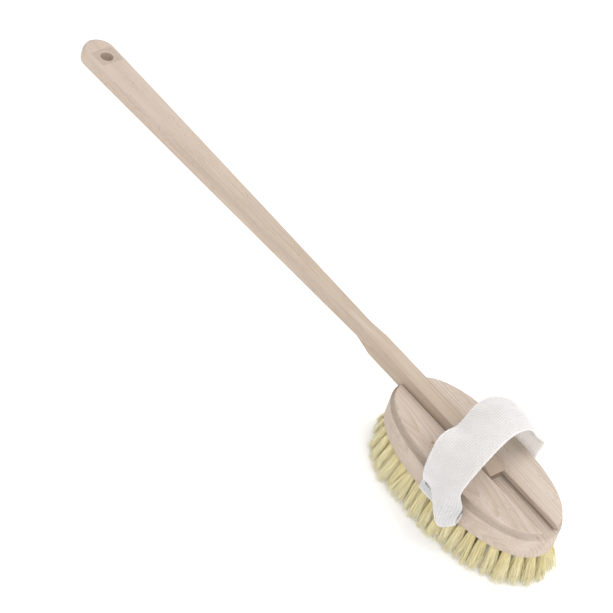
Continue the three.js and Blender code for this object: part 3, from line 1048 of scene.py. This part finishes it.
def through(points, places):
    """Points of a smooth curve through the given points, at places counted in points from 0."""
    points = np.asarray(points, float)
    ends = np.concatenate([[2 * points[0] - points[1]], points, [2 * points[-1] - points[-2]]])
    places = np.clip(places, 0, len(points) - 1)
    whole = np.minimum(places.astype(int), len(points) - 2)
    t = (places - whole)[:, None]
    a, b, c, d = (ends[whole + step] for step in range(4))
    return 0.5 * (
        2 * b + (c - a) * t + (2 * a - 5 * b + 4 * c - d) * t**2 + (3 * b - a - 3 * c + d) * t**3
    )


def webbing_surface(settings, columns, rows):
    """A grid of points over the webbing's middle surface, with its length along the middle."""
    lines = []
    for offset, stations in STRAP_LINES:
        stations = np.array(stations)
        centre = HEAD_X / MM + STRAP_FROM_HEAD_MIDDLE + STRAP_SLANT * stations[:, 0]
        x = centre + offset + stations[:, 2]
        lines.append(np.stack([x, stations[:, 0], CHEEK_TOP / MM + stations[:, 1]], axis=-1) * MM)
    count, samples = len(lines[0]), 60
    fine = np.linspace(0, count - 1, samples * count)
    dense = [through(line, fine) for line in lines]
    middle = (dense[1] + dense[2]) / 2
    runs = np.concatenate([[0], np.cumsum(np.linalg.norm(np.diff(middle, axis=0), axis=1))])
    places = np.interp(np.linspace(0, runs[-1], rows), runs, fine)
    spread = np.stack([through(line, places) for line in lines])
    offsets = [offset * MM for offset, _ in STRAP_LINES]
    wanted = np.linspace(-settings.width / 2, settings.width / 2, columns)
    where = np.interp(wanted, offsets, range(len(offsets)))
    surface = np.stack([through(spread[:, row], where) for row in range(rows)])
    return surface, runs[-1]


def unit(vectors):
    return vectors / np.maximum(np.linalg.norm(vectors, axis=-1, keepdims=True), 1e-12)


def grid_faces(rows, columns):
    """Faces of a closed skin over two grids of points, the upper one first."""
    index = np.arange(rows * columns).reshape(rows, columns)
    a, b, c, d = index[:-1, :-1], index[:-1, 1:], index[1:, 1:], index[1:, :-1]
    top = np.stack([a, b, c, d], axis=-1).reshape(-1, 4)
    total = rows * columns
    under = np.stack([a, d, c, b], axis=-1).reshape(-1, 4) + total
    border = np.concatenate([index[0, :], index[1:, -1], index[-1, -2::-1], index[-2:0:-1, 0]])
    following = np.roll(border, -1)
    rim = np.stack([border, border + total, following + total, following], axis=-1)
    return np.concatenate([top, under, rim]).tolist()


def webbing_skin(settings):
    """The webbing as a closed skin whose yarns stand up as small crowns.

    Gives its points, its faces, how deep each point lies in a groove and the flat length.
    """
    samples = 4
    yarns_across = round(settings.width / settings.yarn_pitch)
    columns = yarns_across * samples + 1
    _, length = webbing_surface(settings, 3, 50)
    yarns_along = round(length / settings.yarn_pitch)
    rows = yarns_along * samples + 1
    surface, length = webbing_surface(settings, columns, rows)
    across = unit(np.gradient(surface, axis=1))
    normals = unit(np.cross(np.gradient(surface, axis=1), np.gradient(surface, axis=0)))

    u = np.linspace(0, yarns_across, columns)
    v = np.linspace(0, yarns_along, rows)
    fullness, mean_crown = 0.7, 0.6
    crowns = np.abs(np.sin(math.pi * v)[:, None] * np.sin(math.pi * u)[None, :]) ** fullness
    # warp and weft take turns on top, one a little lower
    lower_crown = 0.8
    lay = (np.floor(u)[None, :] + np.floor(v)[:, None]) % 2
    crowns *= lower_crown + (1 - lower_crown) * lay
    # the webbing thins over its last yarn, where the weft turns back in small loops
    edge = np.minimum(u, yarns_across - u)
    edge_yarns, edge_share, loop_reach = 1.2, 0.35, 0.28 * MM
    roundness = edge_share + (1 - edge_share) * np.sqrt(np.clip(edge / edge_yarns, 0, 1))
    half = settings.thickness / 2 * roundness + settings.yarn_relief * (crowns - mean_crown)
    loops = loop_reach * np.abs(np.sin(math.pi * v / 2))
    push = np.where(edge < 1, 1 - edge, 0) * np.sign(u - yarns_across / 2)
    surface = surface + across * (loops[:, None] * push[None, :])[..., None]

    upper = surface + normals * half[..., None]
    lower = surface - normals * half[..., None]
    points = np.concatenate([upper.reshape(-1, 3), lower.reshape(-1, 3)])
    grooves = np.tile((1 - crowns).ravel(), 2)
    return points, grid_faces(rows, columns), grooves, length


def staple_points(low, high, wire):
    """The middle line of a staple: leg, rounded corner, crown, rounded corner, leg."""
    near_side = high[1] < 0
    outer = low[1] + wire / 2 if near_side else high[1] - wire / 2
    inner = high[1] if near_side else low[1]
    inward = 1 if near_side else -1
    level = (low[2] + high[2]) / 2
    bend = 0.9 * MM
    left, right = low[0] + wire / 2, high[0] - wire / 2
    steps = 6
    corner = []
    for step in range(steps + 1):
        turn = step / steps * math.pi / 2
        corner.append((bend * (1 - math.cos(turn)), outer + inward * bend * (1 - math.sin(turn))))
    line = [(left, inner)]
    line += [(left + run, y) for run, y in corner]
    line += [(right - run, y) for run, y in reversed(corner)]
    line += [(right, inner)]
    return [Vector((x, y, level)) for x, y in line]


def wire_mesh(name, points, radius, sides):
    """A round wire along a line that lies level."""
    rings = []
    up = Vector((0, 0, 1))
    for index, point in enumerate(points):
        before = points[max(index - 1, 0)]
        after = points[min(index + 1, len(points) - 1)]
        across = up.cross((after - before).normalized())
        rings.append(circle(point, across, up, radius, sides))
    return loft_mesh(name, rings)


# ---------------------------------------------------------------- operators

# Each lamp's bearing and height in degrees, its size and distance in metres and its power in watts.
LAMPS = (("key light", 160, 68, 1.4, 1.8, 15), ("fill light", 50, 30, 1.6, 2.2, 14))
# Where two faces meet at more than this, their edge is drawn sharp.
WOOD_SHARP = math.radians(32)
WIRE_SHARP = math.radians(40)
WIRE_SIDES = 12

def direction(bearing, height):
    """The way out from the brush at a bearing from its near side and a height, in radians."""
    level = math.cos(height)
    return Vector((math.sin(bearing) * level, -math.cos(bearing) * level, math.sin(height)))


def aim_object(thing, away, turn=0):
    """Turns a camera or a lamp that stands out along away to look back, then about its sight."""
    thing.rotation_mode = "QUATERNION"
    level = (-away).to_track_quat("-Z", "Y")
    thing.rotation_quaternion = level @ Quaternion((0, 0, 1), turn)


class BRUSH_OT_stage(bpy.types.Operator):
    """Add the camera, the floor and the soft lights"""

    bl_idname = "brush.stage"
    bl_label = "Camera, floor and lights"

    def execute(self, context):
        settings = context.scene.brush_stage
        away = direction(settings.azimuth, settings.elevation)
        data = bpy.data.cameras.new("camera")
        data.lens = settings.lens
        data.clip_start, data.clip_end = 0.05, 50
        camera = new_object("camera", data)
        camera.location = Vector(settings.aim) + away * settings.distance
        aim_object(camera, away, settings.roll)
        context.scene.camera = camera

        material, _, shader = new_material("Pale floor")
        shader.inputs["Base Color"].default_value = (0.93, 0.93, 0.93, 1)
        shader.inputs["Roughness"].default_value = 0.9
        shader.inputs["Specular IOR Level"].default_value = 0.1
        shader.inputs["Emission Color"].default_value = (1, 1, 1, 1)
        shader.inputs["Emission Strength"].default_value = 0.2
        half = 6
        corners = [(half * x, half * y, 0) for x, y in CORNERS]
        mesh = new_mesh("floor", corners, [(0, 1, 2, 3)])
        mesh.materials.append(material)
        new_object("floor", mesh)

        world = bpy.data.worlds.new("studio")
        world.use_nodes = True
        background = world.node_tree.nodes["Background"]
        background.inputs["Color"].default_value = (1, 1, 1, 1)
        background.inputs["Strength"].default_value = 0.78
        context.scene.world = world
        context.scene.view_settings.view_transform = "Standard"

        centre = Vector((HEAD_X, 0, CHEEK_TOP))
        for name, bearing, height, size, distance, power in LAMPS:
            away = direction(math.radians(bearing), math.radians(height))
            lamp = bpy.data.lights.new(name, "AREA")
            lamp.shape = "DISK"
            lamp.size = size
            lamp.energy = power
            light = new_object(name, lamp)
            light.location = centre + away * distance
            aim_object(light, away)
        return {"FINISHED"}


class BRUSH_OT_shared_groups(bpy.types.Operator):
    """Build the node groups that the materials share"""

    bl_idname = "brush.shared_groups"
    bl_label = "Shared grain and lint"

    def execute(self, context):
        beech_grain_group()
        yarn_lint_group()
        return {"FINISHED"}


class BRUSH_OT_head(bpy.types.Operator):
    """Carve the oval beech head with its cove, cheeks, slot and tuft holes"""

    bl_idname = "brush.head"
    bl_label = "Head"

    def execute(self, context):
        settings = context.scene.brush_head
        rings = [OUTER_RING, *INNER_RINGS]
        holes = [hole_mesh(place) for ring in rings for place in tuft_places(ring)]
        mesh = carve(
            head_blank(settings),
            [("DIFFERENCE", slot_cutter(settings)), ("DIFFERENCE", join_meshes("holes", holes))],
        )
        material = beech_material(
            "Head beech",
            Light=(0.64, 0.553, 0.483, 1),
            Dark=(0.49, 0.393, 0.312, 1),
            Fleck=(0.27, 0.18, 0.11, 1),
            Shift=(0, 17.5 * MM, -51.3 * MM),
            Tilt=0.127,
            Drift=(0, -5, 0),
            Knot=KNOT_PLACE,
            Ring_strength=0.85,
            Fleck_strength=0.45,
        )
        head = new_piece("beech_head", mesh, material, "head", WOOD_SHARP)
        floor = BOARD_BOTTOM + settings.board_thickness
        half, foot = settings.slot_width / 2, settings.undercut_width / 2
        near = 0.1 * MM

        # painted shade in the finger cove and in the slot, darkest in the slot's foot
        def shade_of_face(centre):
            if not floor - near < centre.z < CHEEK_TOP - 0.9 * MM:
                return 0
            if abs(centre.y) > foot + near:
                return COVE_PAINTED_SHADE
            if abs(centre.y) < half - near:
                return SLOT_FLOOR_PAINTED_SHADE
            in_foot = centre.z < floor + settings.undercut_height + near
            return SLOT_FOOT_PAINTED_SHADE if in_foot else SLOT_WALL_PAINTED_SHADE

        mark_painted_shade(head, shade_of_face)
        add_flat_shading(head)
        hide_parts("head_block")
        return {"FINISHED"}


class BRUSH_OT_handle(bpy.types.Operator):
    """Carve the long beech handle with its block, flanges and hanging hole"""

    bl_idname = "brush.handle"
    bl_label = "Handle"

    def execute(self, context):
        settings, head_settings = context.scene.brush_handle, context.scene.brush_head
        slot_floor = BOARD_BOTTOM + head_settings.board_thickness
        mesh = carve(
            handle_blank(settings, slot_floor),
            [("UNION", flange_mesh(head_settings)), ("DIFFERENCE", hang_hole_mesh(settings))],
        )
        material = beech_material(
            "Handle beech",
            Light=(0.59, 0.49, 0.41, 1),
            Dark=(0.44, 0.345, 0.265, 1),
            Fleck=(0.27, 0.18, 0.11, 1),
            Shift=(310 * MM, 25 * MM, -60 * MM),
            Tilt=0.06,
            Drift=(1.7, 0, 0),
            Ring_strength=0.45,
            Fleck_strength=0.4,
        )
        handle = new_piece("beech_handle", mesh, material, "handle", WOOD_SHARP)
        hole = Vector((HANDLE_TIP + HOLE_FROM_TIP, 0))
        hole_reach = settings.hole_radius + 0.2 * MM
        undercut_start, undercut_top = HANDLE_END - 8 * MM, CHEEK_TOP - 0.4 * MM

        # painted shade in the hanging hole, and under the ramp's undercut tip, where it partly
        # stands for darker end grain
        def shade_of_face(centre):
            if (centre.xy - hole).length < hole_reach:
                return HOLE_PAINTED_SHADE
            if centre.x > undercut_start and centre.z < undercut_top:
                return RAMP_END_SHADE_AND_GRAIN
            return 0

        mark_painted_shade(handle, shade_of_face)
        add_flat_shading(handle)
        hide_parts("handle")
        return {"FINISHED"}


class BRUSH_OT_strap(bpy.types.Operator):
    """Weave the cotton strap that arches over the back of the hand"""

    bl_idname = "brush.strap"
    bl_label = "Strap"

    def execute(self, context):
        settings = context.scene.brush_strap
        points, faces, grooves, length = webbing_skin(settings)
        mesh = new_mesh("woven_strap", points, faces)
        material = cotton_material(settings.colour)
        strap = new_piece("woven_strap", mesh, material, "head")
        stored = strap.data.attributes.new("groove", "FLOAT", "POINT")
        stored.data.foreach_set("value", grooves)
        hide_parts("hand_strap")
        return {"FINISHED"}


class BRUSH_OT_staples(bpy.types.Operator):
    """Bend the wire staples that hold the strap's ends"""

    bl_idname = "brush.staples"
    bl_label = "Staples"

    def execute(self, context):
        material = steel_material()
        wire = 1 * MM
        for node in STAPLES:
            name = node.replace("strap_staple", "wire_staple")
            mesh = wire_mesh(name, staple_points(*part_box(node), wire), wire / 2, WIRE_SIDES)
            staple = new_piece(name, mesh, material, "head", WIRE_SHARP)
            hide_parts(node)
        return {"FINISHED"}


class BRUSH_OT_bristles(bpy.types.Operator):
    """Plant the rings of bristle tufts and the flat wires that anchor them"""

    bl_idname = "brush.bristles"
    bl_label = "Bristles"

    def execute(self, context):
        settings = context.scene.brush_bristles
        draw = np.random.default_rng(settings.seed)
        radius = settings.fibre_radius
        material = bristle_material()
        places = tuft_places(OUTER_RING)
        for node, place in zip(OUTER_TUFTS, places):
            tuft = tuft_fibres(place, OUTER_RING["spread"], settings.outer_fibres, radius, draw)
            bristle_piece(node.replace("tuft", "bristles"), [tuft], material, [node])
        inner, count = [], settings.inner_fibres
        for ring in INNER_RINGS:
            for place in tuft_places(ring):
                places.append(place)
                inner.append(tuft_fibres(place, ring["spread"], count, radius, draw))
        bristle_piece("bristles_inner_rings", inner, material, ["tufts_inner_field"])

        anchors = join_meshes("tuft_anchors", [anchor_mesh(place) for place in places])
        steel = bpy.data.materials.get("Bright drawn wire") or steel_material()
        new_piece("tuft_anchors", anchors, steel, "head", WIRE_SHARP)
        return {"FINISHED"}


class BRUSH_PT_panel(bpy.types.Panel):
    """Sizes of the brush and the steps that make it"""

    bl_idname = "BRUSH_PT_panel"
    bl_label = "Dry body brush"
    bl_space_type = "VIEW_3D"
    bl_region_type = "UI"
    bl_category = "Body Brush"

    def draw(self, context):
        layout = self.layout
        for settings_name in SETTINGS:
            box = layout.box()
            settings = getattr(context.scene, settings_name)
            for label in settings.__annotations__:
                box.prop(settings, label)
        for operator in OPERATORS:
            layout.operator(operator.bl_idname)


SETTINGS = {
    "brush_stage": StageSettings,
    "brush_head": HeadSettings,
    "brush_handle": HandleSettings,
    "brush_strap": StrapSettings,
    "brush_bristles": BristleSettings,
}
OPERATORS = (
    BRUSH_OT_stage,
    BRUSH_OT_shared_groups,
    BRUSH_OT_head,
    BRUSH_OT_handle,
    BRUSH_OT_strap,
    BRUSH_OT_staples,
    BRUSH_OT_bristles,
)


def register():
    for name, settings in SETTINGS.items():
        bpy.utils.register_class(settings)
        setattr(bpy.types.Scene, name, bpy.props.PointerProperty(type=settings))
    for operator in OPERATORS:
        bpy.utils.register_class(operator)
    bpy.utils.register_class(BRUSH_PT_panel)


def unregister():
    bpy.utils.unregister_class(BRUSH_PT_panel)
    for operator in reversed(OPERATORS):
        bpy.utils.unregister_class(operator)
    for name, settings in SETTINGS.items():
        delattr(bpy.types.Scene, name)
        bpy.utils.unregister_class(settings)


def main():
    register()
    bpy.ops.brush.stage()
    bpy.ops.brush.shared_groups()
    bpy.ops.brush.head()
    bpy.ops.brush.handle()
    bpy.ops.brush.strap()
    bpy.ops.brush.staples()
    bpy.ops.brush.bristles()


if __name__ == "__main__":
    main()
